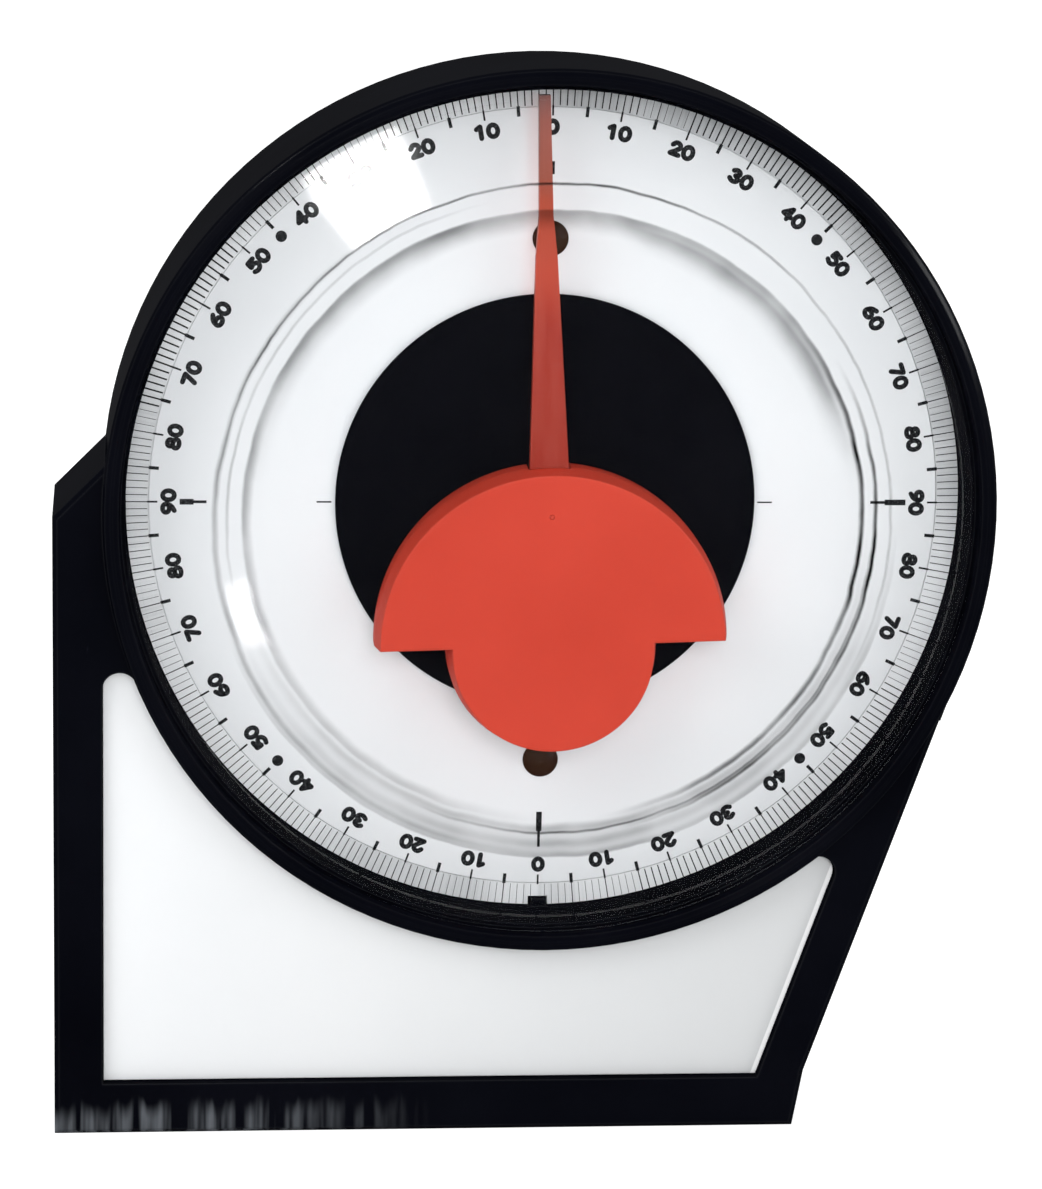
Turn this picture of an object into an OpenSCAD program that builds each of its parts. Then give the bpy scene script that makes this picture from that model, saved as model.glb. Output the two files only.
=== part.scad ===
// Magnetic-base dial inclinometer: a weighted pointer swings over a 4 x 90 degree dial.
// Every piece is drawn on the dial: x to the right, y up, z out of the dial face towards the reader.
// The module stand() then sets the whole gauge upright on its base.

/* [Housing outline] */
// Outer radius of the round housing wall
ring_r = 48; // [46:0.5:54]
// Height of the dial centre above the base face
centre_height = 68.9; // [64:0.5:80]
// How far the left side wall stands outside the round wall
side_margin = 5.3; // [3:0.1:8]
// Distance from the dial centre to the right end of the base face
foot_reach = 28.1; // [22:0.5:30]
// How far the right end leans out between the base face and the knee
knee_lean = 1.1; // [0.5:0.1:2]
// Height of the knee above the base face
knee_rise = 6.3; // [4:0.1:9]
// Height above the dial centre where the 45 degree shoulder meets the left wall
shoulder_rise = -0.2; // [-4:0.2:4]

/* [Housing depth] */
// Dial face to the front plane of the frame
frame_front = 8.2; // [7:0.2:9]
// Dial face to the back of the housing
back_depth = 10.8; // [10:0.2:14]
// Thickness of the outer walls
wall = 2.4; // [2:0.1:3]
// Thickness of the floor behind the dial
floor_t = 2; // [1.6:0.1:2.4]
// Chamfer on the frame's front edges
edge_chamfer = 0.5; // [0.2:0.1:0.8]
// Thickness of the ribs behind the dial
rib_t = 1.2; // [0.8:0.1:1.6]
// Number of ribs behind the dial
rib_count = 6; // [3:1:8]

/* [Bezel ring] */
// Dial face to the crest of the ring
ring_crest = 10.2; // [10:0.1:11]
// Thickness of the ring round the lens
ring_lip = 1.9; // [1.6:0.1:2.2]
// Rounding of the ring's crest
crest_ease = 0.8; // [0.3:0.1:0.8]
// Width of the shoulder that the lens rests on
lens_shoulder = 0.5; // [0.4:0.1:1]
// Dial face to that shoulder
shoulder_height = 7.3; // [7:0.1:7.6]

/* [Window and panel] */
// Width of the left bar beside the window
left_bar = 5.25; // [4.5:0.25:7]
// Height of the base bar below the window
base_bar = 5.7; // [5.4:0.1:8]
// Width of the slanted bar beside the window
right_bar = 4.7; // [4:0.1:6]
// Radius of the window's two upper ends
window_round = 1.9; // [1.4:0.1:2.4]
// Depth of the panel's face below the frame
panel_recess = 1.2; // [0.8:0.1:3]
// Thickness of the panel
panel_t = 1.6; // [1.2:0.1:2]
// Thickness of the web that carries the panel
web_t = 2; // [1.6:0.1:2.4]

/* [Dial] */
// Thickness of the dial plate
dial_t = 1; // [0.8:0.1:1.5]
// Width of the silver degree ring
track_w = 2.5; // [2:0.1:3.5]
// Thickness of the degree ring
track_t = 0.4; // [0.3:0.05:0.6]
// Radius of the black centre disc
hub_disc_r = 22.9; // [20:0.1:25]
// Thickness of the centre disc
hub_disc_t = 0.6; // [0.4:0.1:0.7]
// Distance of the dial's rivets from its centre
rivet_reach = 28.9; // [27:0.1:32]
// Radius of a rivet head
rivet_head_r = 1.95; // [1.5:0.05:2.4]
// Radius of a rivet shank
rivet_r = 0.95; // [0.7:0.05:1.2]
// Height of a rivet head
rivet_head_h = 0.8; // [0.5:0.1:1]
// Width of the locating key at the foot of the dial
key_w = 1.95; // [1.4:0.05:3]
// How far the key reaches in over the dial
key_reach = 0.95; // [0.6:0.05:1.4]

/* [Lens] */
// Thickness of the lens
lens_t = 1.4; // [1.2:0.1:1.6]
// Width of the lens's sloping flank, from its rim in to the raised crest
lens_flank_w = 9.8; // [8:0.1:11]
// Dial face to that crest
lens_crest = 11.4; // [11.2:0.1:12.4]
// Width of the step from the crest in to the flat centre
lens_step_w = 3.2; // [2.4:0.1:4]
// Depth of the flat centre below the crest
lens_dish = 1.4; // [0.8:0.1:1.5]
// Height of the lens's upright rim
lens_rim = 1.7; // [1.4:0.1:2]
// Chamfer between the rim and the sloping flank
lens_chamfer = 0.6; // [0.3:0.1:0.8]

/* [Pendulum] */
// Rest angle of the pendulum, anticlockwise
lean = 1.8; // [-3:0.1:3]
// Gap between the pointer's tip and the wall round the dial
pointer_gap = 0.8; // [0.5:0.1:3]
// Width of the pointer at the weight
pointer_root_w = 4.3; // [3.5:0.1:5]
// Width of the pointer at its waist
pointer_waist_w = 2.3; // [1.8:0.1:3]
// Pivot to that waist
pointer_waist = 27.5; // [24:0.5:29]
// Width of the slim upper pointer
pointer_slim_w = 1.5; // [1.2:0.1:1.7]
// Pivot to the start of the slim part
pointer_slim = 32; // [30:0.5:36]
// Width of the pointer's tip
pointer_tip_w = 1.2; // [0.8:0.1:1.4]
// Dial face to the back of the pointer
pointer_back = 4.2; // [3.8:0.1:4.6]
// Thickness of the pointer
pointer_t = 1.2; // [1:0.1:1.4]
// Distance of the pivot from the top of the weight's wide upper half
pivot_inset = 4.9; // [3:0.1:7]
// Radius of the weight's wide upper half
wing_r = 19.2; // [17:0.1:20]
// Radius of the weight's lower lobe
lobe_r = 11.4; // [10:0.1:13]
// Height of the lobe's straight sides below the wings
lobe_drop = 0.8; // [0.4:0.1:2]
// Dial face to the front of the weight
weight_front = 8; // [7.6:0.1:8.2]
// Thickness of the skin over the axle's front end
cover_skin = 0.7; // [0.5:0.1:0.9]
// Dial face to the back of the weight
weight_back = 2.6; // [2.2:0.1:2.8]
// Wall thickness of the weight's cover
cover_wall = 1.2; // [1:0.1:1.4]
// How far the cover's sides draw in towards the front
cover_draft = 0.5; // [0.3:0.1:1.4]
// Depth of the drawn-in part
draft_depth = 3; // [2:0.1:3.4]

/* [Pivot] */
// Radius of the axle
axle_r = 0.75; // [0.6:0.05:1]
// Outer radius of the bushes
bush_r = 2.5; // [2:0.1:3]
// Radius of the front bush's flange
bush_flange_r = 3.4; // [3:0.1:4]
// Thickness of that flange
bush_flange_t = 0.7; // [0.5:0.1:0.8]
// Length of the front bush behind the dial face
bush_length = 6; // [5:0.1:6.2]
// Radius of the bearing boss behind the dial
boss_r = 5; // [4.5:0.1:7]
// Length of the rear bush
rear_bush_length = 2.4; // [1.8:0.1:2.5]
// Radius of the rear bush's boss
rear_boss_r = 4.2; // [3.8:0.1:6]
// Thickness of the thrust washer
washer_t = 0.8; // [0.5:0.1:0.9]
// Radius of the thrust washer
washer_r = 2.6; // [2:0.1:3]
// Radius of the pointer's eye
eye_r = 3.4; // [3:0.1:4]
// Radius of the retaining clip
clip_r = 2; // [1.6:0.1:2.4]
// Thickness of the retaining clip
clip_t = 0.5; // [0.4:0.05:0.6]
// Depth of the clip's groove in the axle
groove_depth = 0.2; // [0.15:0.05:0.3]

/* [Base] */
// Width of the vee groove along the base face
vee_w = 10; // [8:0.2:11]
// Depth of the vee groove
vee_depth = 2.6; // [2:0.1:3]
// Number of magnets
magnet_count = 3; // [2:1:4]
// Length of one magnet
magnet_length = 20; // [10:0.5:20]
// Width of a magnet across the base
magnet_w = 4.4; // [3:0.1:4.4]
// Height of a magnet
magnet_h = 5; // [4:0.1:6]
// Gap between two magnets
magnet_pitch_gap = 1.2; // [0.8:0.1:2]
// Thickness of the steel keeper on the magnets
keeper_t = 1.2; // [0.8:0.1:1.5]
// Thickness of the strip that holds the keeper down
retainer_t = 1.5; // [1.2:0.1:2]

/* [Rear cover and screws] */
// Thickness of the rear cover
cover_t = 2; // [1.8:0.1:2.4]
// Width of the housing's rim round the cover
cover_rim = 1.2; // [1:0.1:1.6]
// Radius of a screw's head
screw_head_r = 2.2; // [1.8:0.1:2.4]
// Height of a screw's head
screw_head_h = 1.1; // [0.8:0.1:1.3]
// Radius of a screw's shank
screw_r = 1.05; // [0.8:0.05:1.2]
// Length of a screw's shank
screw_length = 5; // [4:0.1:5.4]
// Radius of a screw pillar
pillar_r = 3; // [2.6:0.1:3.4]
// Distance of the two upper screws from the round wall's outside
upper_screw_inset = 8; // [7:0.5:10]
// Angle of the two upper screws from straight up
upper_screw_angle = 52; // [48:1:54]
// Distance of the two lower screws from the side walls
lower_screw_inset = 7.8; // [7:0.1:9]
// Distance of the two lower screws above the base face
lower_screw_rise = 14.6; // [14:0.2:18]
// Depth of the bare field in the back of the cover
field_depth = 0.3; // [0.2:0.05:0.4]

/* [Fits] */
// Gap round pieces that drop into a seat
seat_gap = 0.1; // [0.05:0.01:0.15]
// Radial gap between the axle and its bushes
running_gap = 0.03; // [0.02:0.01:0.08]
// Radial gap where a piece is fixed on the axle or a pin in its hole
fixed_gap = 0.02; // [0.01:0.01:0.04]
// End float of the axle between its bushes
end_float = 0.1; // [0.05:0.01:0.2]

/* [Hidden] */
$fn = 96;
eps = 0.02;

// Derived radii and levels, all measured from the dial face
left_reach = ring_r + side_margin;
lip_r = ring_r - ring_lip;
cup_r = lip_r - lens_shoulder;
track_r = cup_r - track_w;
floor_front = -dial_t;
floor_back = floor_front - floor_t;
cover_front = cover_t - back_depth;
web_back = frame_front - panel_recess - panel_t - web_t;
web_front = web_back + web_t;
depth_middle = (frame_front - back_depth) / 2;

// The straight-sided part of the outline, anticlockwise from the lower left corner
knee = [foot_reach + knee_lean, knee_rise - centre_height];
tangent_angle = atan2(knee.y, knee.x) + acos(ring_r / norm(knee));
slant_normal = [cos(tangent_angle), sin(tangent_angle)];
slant_along = [-sin(tangent_angle), cos(tangent_angle)];
chamfer_stop = sqrt(2 * ring_r * edge_chamfer) + 2 * edge_chamfer;
shoulder_span = left_reach - shoulder_rise;
shoulder_excess = left_reach * left_reach + shoulder_rise * shoulder_rise - ring_r * ring_r;
shoulder_run = (shoulder_span - sqrt(shoulder_span * shoulder_span - 2 * shoulder_excess)) / 2;
body_points = [
    [-left_reach, -centre_height],
    [foot_reach, -centre_height],
    knee,
    ring_r * slant_normal,
    [shoulder_run - left_reach, shoulder_rise + shoulder_run],
    [-left_reach, shoulder_rise]
];

// Window: its left, lower and slanted sides, and the centres of its two round upper ends
window_left = left_bar - left_reach;
window_low = base_bar - centre_height;
slant_inside = ring_r - right_bar;
end_reach = ring_r + window_round;
left_end_x = window_left + window_round;
left_end = [left_end_x, -sqrt(end_reach * end_reach - left_end_x * left_end_x)];
right_end_off = slant_inside - window_round;
right_end = right_end_off * slant_normal
    - sqrt(end_reach * end_reach - right_end_off * right_end_off) * slant_along;

// Base: the magnets stand on the flat root of the vee
root_w = vee_w - 2 * vee_depth;
magnet_low = vee_depth - centre_height;
keeper_low = magnet_low + magnet_h;
retainer_low = keeper_low + keeper_t;
base_block_top = retainer_low + retainer_t;
magnet_run = magnet_count * magnet_length + (magnet_count - 1) * magnet_pitch_gap;
magnet_start = (foot_reach - left_reach - magnet_run) / 2;

// Lens levels
lens_r = lip_r - seat_gap;
lens_rim_top = shoulder_height + lens_rim;
flank_start_r = lens_r - lens_chamfer;
lens_crest_r = lens_r - lens_flank_w;
crest_ridge = 0.4;
lens_centre_r = lens_crest_r - lens_step_w;
centre_front = lens_crest - lens_dish;

// Pivot levels
washer_back = bush_flange_t + end_float;
washer_front = washer_back + washer_t;
pointer_front = pointer_back + pointer_t;
clip_front = -bush_length - end_float;
clip_back = clip_front - clip_t;
rear_bush_front = cover_front + rear_bush_length * 0.6;
rear_bush_back = rear_bush_front - rear_bush_length;
axle_back = rear_bush_back + 2 * end_float;
axle_front = weight_front - cover_skin - end_float;
groove_r = axle_r - groove_depth;

// Pendulum: reach of the pointer, and the way between the two rooms inside the weight
pointer_reach = cup_r - pointer_gap;
weight_drop = wing_r - pivot_inset;
passage_w = 2 * (lobe_r - 2 * cover_wall - cover_draft);

// Screw places on the dial plane
upper_screw_reach = ring_r - upper_screw_inset;
lower_screw_y = lower_screw_rise - centre_height;
screw_points = [
    upper_screw_reach * [-sin(upper_screw_angle), cos(upper_screw_angle)],
    upper_screw_reach * [sin(upper_screw_angle), cos(upper_screw_angle)],
    [lower_screw_inset - left_reach, lower_screw_y],
    [slant_x(ring_r - lower_screw_inset, lower_screw_y), lower_screw_y]
];
screw_seat = screw_head_h + seat_gap - back_depth;
screw_tip = screw_seat + screw_length;

// The reference point is the middle of the overall box, on the base face
dial_x = (left_reach - ring_r) / 2;
dial_y = (lens_crest - back_depth) / 2;

// x on a line parallel to the slanted side, at the given distance from the dial centre
function slant_x(off, y) = (off - y * slant_normal.y) / slant_normal.x;
function unit(v) = v / norm(v);
function inward(a, b) = [a.y - b.y, b.x - a.x] / norm(b - a);
// Moves every side of an anticlockwise outline inwards by d
function inset(points, d) = [
    for (i = [0:len(points) - 1])
        let (n = len(points), p = points[i])
        let (u = inward(points[(i + n - 1) % n], p), v = inward(p, points[(i + 1) % n]))
        p + d * (u + v) / (1 + u * v)
];

module stand() {
    translate([dial_x, dial_y, centre_height]) rotate([90, 0, 0]) children();
}

// A disc, tube or plate between two levels of the dial's own axis
module slab(low, high) {
    translate([0, 0, low]) linear_extrude(high - low) children();
}
module disc(r, low, high) {
    translate([0, 0, low]) cylinder(r = r, h = high - low);
}

module outline(d = 0) {
    circle(r = ring_r - d);
    polygon(inset(body_points, d));
}

// The window in the frame, drawn in by d on every side
module window(d = 0) {
    low = window_low + d;
    difference() {
        polygon([
            [window_left + d, low],
            [slant_x(slant_inside - d, low), low],
            right_end + (window_round - d) * slant_normal,
            (ring_r + d) * unit(right_end),
            (ring_r + d) * unit(left_end),
            [window_left + d, left_end.y]
        ]);
        circle(r = ring_r + d);
    }
    for (end = [left_end, right_end]) translate(end) circle(r = window_round - d);
}

// A long prism that takes a 45 degree edge off the front plane, along the line from a to b
module front_edge_cut(a, b, size) {
    along = b - a;
    translate([a.x, a.y, frame_front]) rotate([0, 0, atan2(along.y, along.x)])
        rotate([45, 0, 0])
            translate([-size, -size / sqrt(2), -size / sqrt(2)])
                cube([norm(along) + 2 * size, sqrt(2) * size, sqrt(2) * size]);
}

module hollow_behind_window() {
    difference() {
        intersection() {
            polygon(inset(body_points, wall));
            translate([-left_reach, base_block_top])
                square([left_reach + ring_r, centre_height]);
        }
        circle(r = ring_r);
    }
}

module ring_profile() {
    corner = crest_ease * (1 - sin(45));
    polygon([
        [cup_r, floor_back],
        [ring_r, floor_back],
        [ring_r, ring_crest - crest_ease],
        [ring_r - corner, ring_crest - corner],
        [ring_r - crest_ease, ring_crest],
        [lip_r + crest_ease, ring_crest],
        [lip_r + corner, ring_crest - corner],
        [lip_r, ring_crest - crest_ease],
        [lip_r, shoulder_height],
        [cup_r, shoulder_height]
    ]);
}

module housing_body() {
    difference() {
        slab(-back_depth, frame_front) outline();
        // Dial cup from the front, and the hollows from the back
        disc(cup_r, floor_front, frame_front + 1);
        disc(lip_r, shoulder_height, frame_front + 1);
        disc(cup_r, cover_front - eps, floor_back);
        slab(cover_front - eps, web_back) hollow_behind_window();
        slab(-back_depth - 1, cover_front) outline(cover_rim);
        // Window down to the panel's seat
        slab(web_front, frame_front + 1) window();
        // The vee along the base face, and the pocket for the magnets above its root
        translate([-ring_r - left_reach, -centre_height, depth_middle]) rotate([90, 0, 90])
            linear_extrude(2 * (ring_r + left_reach)) polygon([
                [-1, vee_w / 2 + 1],
                [-1, -vee_w / 2 - 1],
                [vee_depth, -root_w / 2],
                [vee_depth, root_w / 2]
            ]);
        translate([magnet_start - seat_gap, magnet_low - eps, depth_middle - magnet_w / 2 - seat_gap])
            cube([magnet_run + 2 * seat_gap, magnet_h + keeper_t + 2 * eps, magnet_w + 2 * seat_gap]);
        translate([magnet_start - seat_gap, retainer_low, cover_front - eps])
            cube([magnet_run + 2 * seat_gap, retainer_t + eps, web_back - cover_front + eps]);
        // Front edges
        front_edge_cut(body_points[5], body_points[0], edge_chamfer);
        front_edge_cut(body_points[0], body_points[1], edge_chamfer);
        front_edge_cut(body_points[1], knee, edge_chamfer);
        front_edge_cut(knee, ring_r * slant_normal - chamfer_stop * slant_along, edge_chamfer);
        front_edge_cut(body_points[4], body_points[5], edge_chamfer);
    }
}

module screw_pillar(top) {
    difference() {
        disc(pillar_r, cover_front, top);
        disc(screw_r + fixed_gap, cover_front - 1, screw_tip + 2 * seat_gap);
    }
}

module front_housing() {
    color("#0b0b10") stand() {
        difference() {
            union() {
                housing_body();
                rotate_extrude() ring_profile();
                disc(boss_r, -bush_length, floor_back + eps);
                for (k = [0:rib_count - 1]) rotate([0, 0, 360 * k / rib_count])
                    translate([boss_r / 2, -rib_t / 2, -bush_length])
                        cube([cup_r - boss_r / 2 + 0.5, rib_t, bush_length + floor_back + eps]);
                // Locating key at the foot of the dial
                slab(floor_front - eps, rivet_head_h) polygon([
                    [-key_w / 2, -cup_r - 0.5],
                    [key_w / 2, -cup_r - 0.5],
                    [key_w / 2 - 0.15, key_reach - cup_r],
                    [0.15 - key_w / 2, key_reach - cup_r]
                ]);
            }
            disc(bush_r + fixed_gap, -bush_length - 1, 1);
            for (side = [-1, 1]) translate([0, side * rivet_reach, 0])
                disc(rivet_r + fixed_gap, -bush_length - 1, 1);
        }
        for (i = [0:3]) translate(screw_points[i])
            screw_pillar(i < 2 ? floor_back + eps : web_back + eps);
    }
}

module rear_cover() {
    color("#101014") stand() {
        difference() {
            union() {
                slab(-back_depth, cover_front) outline(cover_rim + seat_gap);
                disc(rear_boss_r, cover_front - eps, rear_bush_front);
            }
            disc(bush_r + fixed_gap, rear_bush_back - fixed_gap, rear_bush_front + 1);
            for (p = screw_points) translate(p) {
                disc(screw_r + 2 * seat_gap, -back_depth - 1, cover_front + 1);
                disc(screw_head_r + seat_gap, -back_depth - 1, screw_seat);
            }
            slab(-back_depth - 1, field_depth - back_depth) circle(r = upper_screw_reach - 2 * screw_head_r);
        }
    }
}

module cover_screws() {
    color("#8f9296") stand() for (p = screw_points) translate(p) {
        difference() {
            union() {
                disc(screw_head_r, seat_gap - back_depth, screw_seat);
                disc(screw_r, screw_seat - eps, screw_tip);
            }
            for (turn = [0, 90]) rotate([0, 0, turn])
                translate([-0.6 * screw_head_r, -0.12 * screw_head_r, -back_depth])
                    cube([1.2 * screw_head_r, 0.24 * screw_head_r, 0.6 * screw_head_h + seat_gap]);
        }
    }
}

module window_panel() {
    color("#e6e8ea") stand() slab(web_front, web_front + panel_t) window(seat_gap);
}

// The key's notch and the holes that the dial pieces share
module dial_notch() {
    translate([-key_w / 2 - seat_gap, -cup_r - 1])
        square([key_w + 2 * seat_gap, 1 + key_reach + seat_gap]);
}

module dial_plate() {
    color("#f2f4f5") stand() difference() {
        union() {
            disc(cup_r - seat_gap, floor_front, -track_t);
            disc(track_r - seat_gap, floor_front, 0);
        }
        disc(bush_r + fixed_gap, floor_front - 1, 1);
        for (side = [-1, 1]) translate([0, side * rivet_reach, 0])
            disc(rivet_r + fixed_gap, floor_front - 1, 1);
        slab(floor_front - 1, 1) dial_notch();
    }
}

module degree_ring() {
    color("#b4b7ba") stand() difference() {
        disc(cup_r - seat_gap, -track_t, 0);
        disc(track_r, -track_t - 1, 1);
        slab(-track_t - 1, 1) dial_notch();
    }
}

module hub_disc() {
    color("#0c0c12") stand() difference() {
        disc(hub_disc_r, 0, hub_disc_t);
        disc(bush_flange_r + seat_gap, -1, hub_disc_t + 1);
    }
}

module dial_rivets() {
    tail_t = rivet_head_h / 2;
    color("#1a1412") stand() for (side = [-1, 1]) translate([0, side * rivet_reach, 0]) {
        rotate_extrude() intersection() {
            translate([0, rivet_head_h - rivet_head_r * 1.6]) circle(r = rivet_head_r * 1.6);
            square([rivet_head_r, rivet_head_h]);
        }
        disc(rivet_r, floor_back - tail_t, eps);
        disc(rivet_head_r * 0.8, floor_back - tail_t, floor_back);
    }
}

module lens() {
    wall_r = lens_r - lens_t;
    crest_in = lens_crest_r - crest_ridge;
    color([0.86, 0.91, 0.94, 0.35]) stand() rotate_extrude() polygon([
        [0, centre_front],
        [lens_centre_r, centre_front],
        [crest_in, lens_crest],
        [lens_crest_r, lens_crest],
        [flank_start_r, lens_rim_top + lens_chamfer],
        [lens_r, lens_rim_top],
        [lens_r, shoulder_height],
        [wall_r, shoulder_height],
        [wall_r, lens_rim_top + lens_chamfer - lens_t],
        [lens_crest_r, lens_crest - lens_t],
        [crest_in, lens_crest - lens_t],
        [lens_centre_r, centre_front - lens_t],
        [0, centre_front - lens_t]
    ]);
}

module front_bush() {
    color("#b98f45") stand() difference() {
        union() {
            disc(bush_r, -bush_length, eps);
            disc(bush_flange_r, 0, bush_flange_t);
        }
        disc(axle_r + running_gap, -bush_length - 1, bush_flange_t + 1);
    }
}

module rear_bush() {
    color("#b98f45") stand() difference() {
        disc(bush_r, rear_bush_back, rear_bush_front);
        disc(axle_r + running_gap, rear_bush_back - 1, rear_bush_front + 1);
    }
}

module base_magnets() {
    pitch = magnet_length + magnet_pitch_gap;
    color("#3a3a3e") stand() for (k = [0:magnet_count - 1])
        translate([magnet_start + k * pitch, magnet_low, depth_middle - magnet_w / 2])
            cube([magnet_length, magnet_h, magnet_w]);
}

module base_keeper() {
    color("#8d9094") stand() translate([magnet_start, keeper_low, depth_middle - magnet_w / 2])
        cube([magnet_run, keeper_t, magnet_w]);
}

module magnet_retainer() {
    color("#202024") stand() translate([magnet_start, retainer_low, cover_front + seat_gap])
        cube([magnet_run, retainer_t, web_back - cover_front - 2 * seat_gap]);
}

module pendulum() {
    stand() rotate([0, 0, lean]) children();
}

module pivot_axle() {
    color("#c9ccd0") pendulum() difference() {
        disc(axle_r, axle_back, axle_front);
        difference() {
            disc(axle_r + 1, clip_back - end_float / 2, clip_front + end_float / 2);
            disc(groove_r, clip_back - 1, clip_front + 1);
        }
    }
}

module thrust_washer() {
    color("#e9e4d8") pendulum() difference() {
        disc(washer_r, washer_back, washer_front);
        disc(axle_r + fixed_gap, washer_back - 1, washer_front + 1);
    }
}

module retaining_clip() {
    color("#70757a") pendulum() difference() {
        disc(clip_r, clip_back, clip_front);
        disc(groove_r + fixed_gap, clip_back - 1, clip_front + 1);
        translate([-groove_r - fixed_gap, 0, clip_back - 1])
            cube([2 * (groove_r + fixed_gap), clip_r + 1, clip_t + 2]);
    }
}

module pendulum_pointer() {
    color("#be4b41") pendulum() difference() {
        union() {
            slab(pointer_back, pointer_front) {
                circle(r = eye_r);
                polygon([
                    [-pointer_root_w / 2, 0],
                    [pointer_root_w / 2, 0],
                    [pointer_root_w / 2, eye_r],
                    [pointer_waist_w / 2, pointer_waist],
                    [pointer_slim_w / 2, pointer_slim],
                    [pointer_tip_w / 2, pointer_reach],
                    [-pointer_tip_w / 2, pointer_reach],
                    [-pointer_slim_w / 2, pointer_slim],
                    [-pointer_waist_w / 2, pointer_waist],
                    [-pointer_root_w / 2, eye_r]
                ]);
            }
            disc(washer_r - seat_gap, washer_front, pointer_back + eps);
        }
        disc(axle_r + fixed_gap, washer_front - 1, pointer_front + 1);
    }
}

// One side of the weight's section at radius r, drawn in by d on its side and front
function drafted_side(r, d) = [
    [r - d, weight_back - (d > 0 ? 1 : 0)],
    [r - d, weight_front - draft_depth],
    [r - d - cover_draft, weight_front - d]
];

module drafted_half(r, d) {
    side = drafted_side(r, d);
    rotate_extrude(angle = 180) polygon(concat([[0, side[0].y]], side, [[0, side[2].y]]));
}

// The lower lobe: straight sides under the wings, then a drafted half disc
module drafted_lobe(d) {
    side = drafted_side(lobe_r, d);
    translate([0, -lobe_drop, 0]) rotate([0, 0, 180]) drafted_half(lobe_r, d);
    translate([0, eps, 0]) rotate([90, 0, 0]) linear_extrude(lobe_drop + 2 * eps)
        polygon(concat(side, [for (i = [2:-1:0]) [-side[i].x, side[i].y]]));
}

module weight_cover() {
    color("#db4a38") pendulum() difference() {
        union() {
            difference() {
                translate([0, -weight_drop, 0]) {
                    drafted_half(wing_r, 0);
                    drafted_lobe(0);
                }
                // Inside of the shell, open to the back
                translate([0, -weight_drop, 0]) {
                    intersection() {
                        drafted_half(wing_r, cover_wall);
                        translate([-wing_r, cover_wall, 0]) cube([2 * wing_r, wing_r, weight_front]);
                    }
                    drafted_lobe(cover_wall);
                    translate([-passage_w / 2, -cover_wall, weight_back - 1])
                        cube([passage_w, 3 * cover_wall, weight_front - cover_wall - weight_back + 1]);
                }
                // Notch for the pointer in the shell's upper wall
                translate([-pointer_root_w / 2 - seat_gap, 0, weight_back - 1])
                    cube([pointer_root_w + 2 * seat_gap, wing_r, pointer_front + seat_gap - weight_back + 1]);
            }
            disc(washer_r - seat_gap, pointer_front, weight_front - cover_wall + eps);
        }
        disc(axle_r + fixed_gap, weight_back - 1, weight_front - cover_skin);
    }
}

module weight_slug() {
    side = cover_wall + cover_draft + seat_gap;
    low_r = lobe_r - side;
    neck_w = passage_w - 2 * seat_gap;
    eye_room_r = eye_r + 2 * seat_gap;
    slug_back = weight_back + 2 * seat_gap;
    slug_front = weight_front - cover_wall - seat_gap;
    color("#77797c") pendulum() slab(slug_back, slug_front) difference() {
        translate([0, -weight_drop]) {
            intersection() {
                circle(r = wing_r - side);
                translate([-wing_r, cover_wall + seat_gap]) square([2 * wing_r, wing_r]);
            }
            intersection() {
                translate([0, -lobe_drop]) circle(r = low_r);
                translate([-lobe_r, -2 * lobe_r]) square([2 * lobe_r, 2 * lobe_r - lobe_drop]);
            }
            translate([-neck_w / 2, -2 * lobe_drop])
                square([neck_w, 2 * lobe_drop + cover_wall + 2 * seat_gap]);
        }
        circle(r = eye_room_r);
        translate([-eye_room_r, 0]) square([2 * eye_room_r, wing_r]);
    }
}

front_housing();
rear_cover();
cover_screws();
window_panel();
dial_plate();
degree_ring();
hub_disc();
dial_rivets();
lens();
front_bush();
rear_bush();
base_magnets();
base_keeper();
magnet_retainer();
pivot_axle();
thrust_washer();
retaining_clip();
pendulum_pointer();
weight_cover();
weight_slug();
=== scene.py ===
import math

import bmesh
import bpy
from mathutils import Matrix, Vector


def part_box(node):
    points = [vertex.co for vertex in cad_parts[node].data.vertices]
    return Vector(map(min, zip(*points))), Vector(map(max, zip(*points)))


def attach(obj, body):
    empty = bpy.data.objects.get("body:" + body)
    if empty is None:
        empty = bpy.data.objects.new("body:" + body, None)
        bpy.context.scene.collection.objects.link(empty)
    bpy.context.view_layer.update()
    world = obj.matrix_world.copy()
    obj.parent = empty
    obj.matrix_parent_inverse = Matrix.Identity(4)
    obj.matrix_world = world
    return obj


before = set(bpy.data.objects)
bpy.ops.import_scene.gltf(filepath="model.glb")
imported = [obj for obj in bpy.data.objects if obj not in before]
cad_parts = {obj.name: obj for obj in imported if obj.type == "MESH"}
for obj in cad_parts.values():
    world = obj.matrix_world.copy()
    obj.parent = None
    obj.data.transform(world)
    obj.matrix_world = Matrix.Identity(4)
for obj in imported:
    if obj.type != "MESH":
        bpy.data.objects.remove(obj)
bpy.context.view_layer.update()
mm = 0.001

axleLow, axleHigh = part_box("pivot_axle")
dialCentre = Vector(((axleLow.x + axleHigh.x) / 2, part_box("dial_plate")[0].y, (axleLow.z + axleHigh.z) / 2))
# places on the dial: x to the right, y up, z out of the dial towards the reader
dialFrame = Matrix.Translation(dialCentre) @ Matrix.Rotation(math.radians(90), 4, "X")
print("frame loaded, dial centre at", [round(c, 5) for c in dialCentre])


def addNode(tree, kind, inputs=None, **settings):
    node = tree.nodes.new(kind)
    for key, value in settings.items():
        setattr(node, key, value)
    for key, value in (inputs or {}).items():
        if isinstance(value, bpy.types.NodeSocket):
            tree.links.new(value, node.inputs[key])
        else:
            node.inputs[key].default_value = value
    return node


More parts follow.
